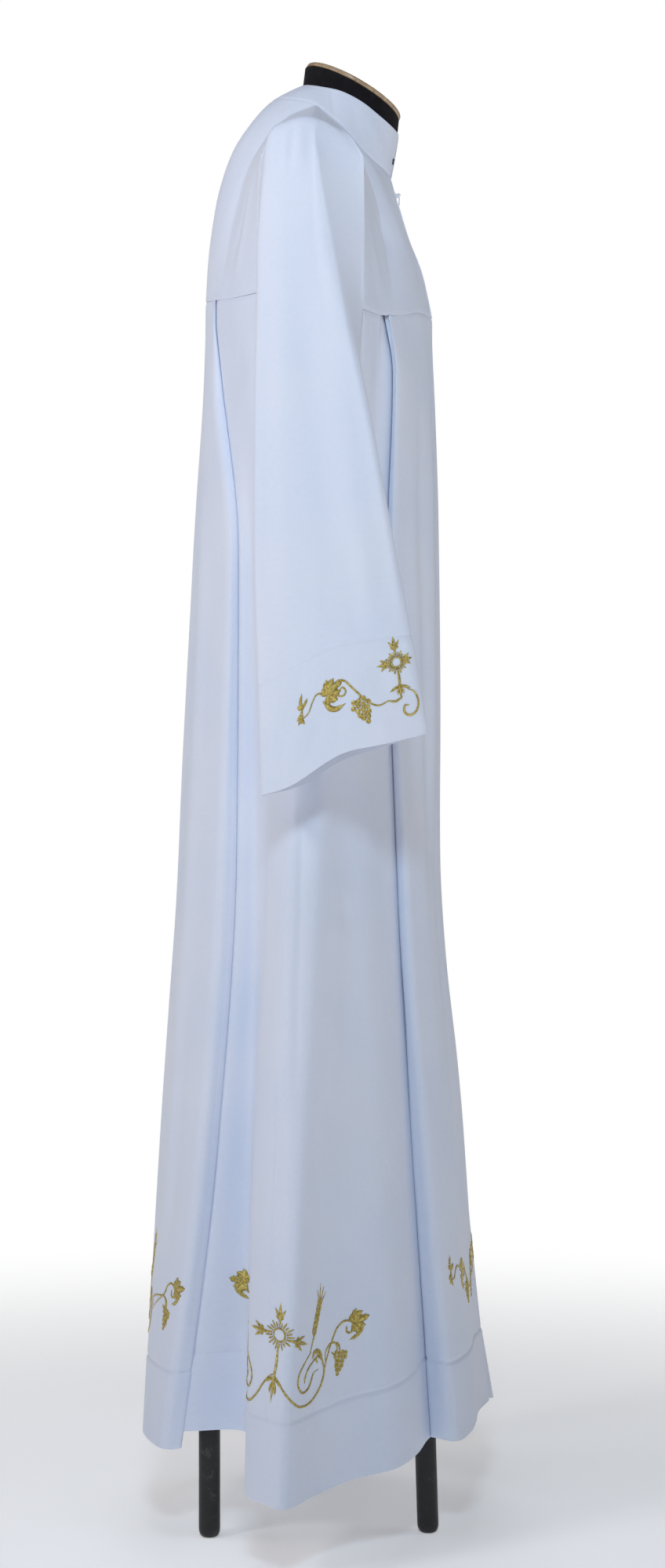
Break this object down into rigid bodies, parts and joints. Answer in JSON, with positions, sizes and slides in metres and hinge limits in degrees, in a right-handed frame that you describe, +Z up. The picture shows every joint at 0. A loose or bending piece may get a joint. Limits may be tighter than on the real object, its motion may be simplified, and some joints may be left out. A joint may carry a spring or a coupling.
{
  "type": "alb on a limbless dress form with its stand",
  "caption": "Ankle-length white alb with a stand collar, yokes, front zip, pleated skirt and wide banded sleeves, worn on a limbless bust form with a wooden neck cap and a three-legged stand.",
  "frame": {"origin": "on the floor, under the middle of the whole object's outline", "axes": "+Z up, +X towards the wearer's left, +Y towards the wearer's back"},
  "size_m": [0.58, 0.3554, 1.5357],
  "materials": {
    "white_cloth": "smooth satin-matt woven",
    "zip_nylon": "satin",
    "hook_metal": "dark enamel",
    "black_jersey": "matt knitted",
    "cap_wood": "varnished",
    "stand_paint": "worn satin black",
    "gold_thread": "lustrous satin stitch"
  },
  "bodies": {
    "alb_on_form": {"collar": "white_cloth", "yoke_front_right": "white_cloth", "yoke_front_left": "white_cloth", "yoke_back": "white_cloth", "skirt_front_right": "white_cloth", "skirt_front_left": "white_cloth", "skirt_back": "white_cloth", "sleeve_right": "white_cloth", "sleeve_left": "white_cloth", "cuff_right": "white_cloth", "cuff_left": "white_cloth", "zip_tape_right": "zip_nylon", "zip_tape_left": "zip_nylon", "zip_slider": "zip_nylon", "collar_hook": "hook_metal", "form": "black_jersey", "neck_cap": "cap_wood", "pole": "stand_paint", "leg_back": "stand_paint", "leg_front": "stand_paint", "leg_far": "stand_paint"},
    "pull_tab": {"zip_pull": "zip_nylon"}
  },
  "joints": [
    {"name": "pull_hinge", "type": "hinge", "parent": "alb_on_form", "child": "pull_tab", "pos_m": [0, -0.09058, 1.3981], "axis": [-1, 0, 0], "range_deg": [0, 150]}
  ]
}
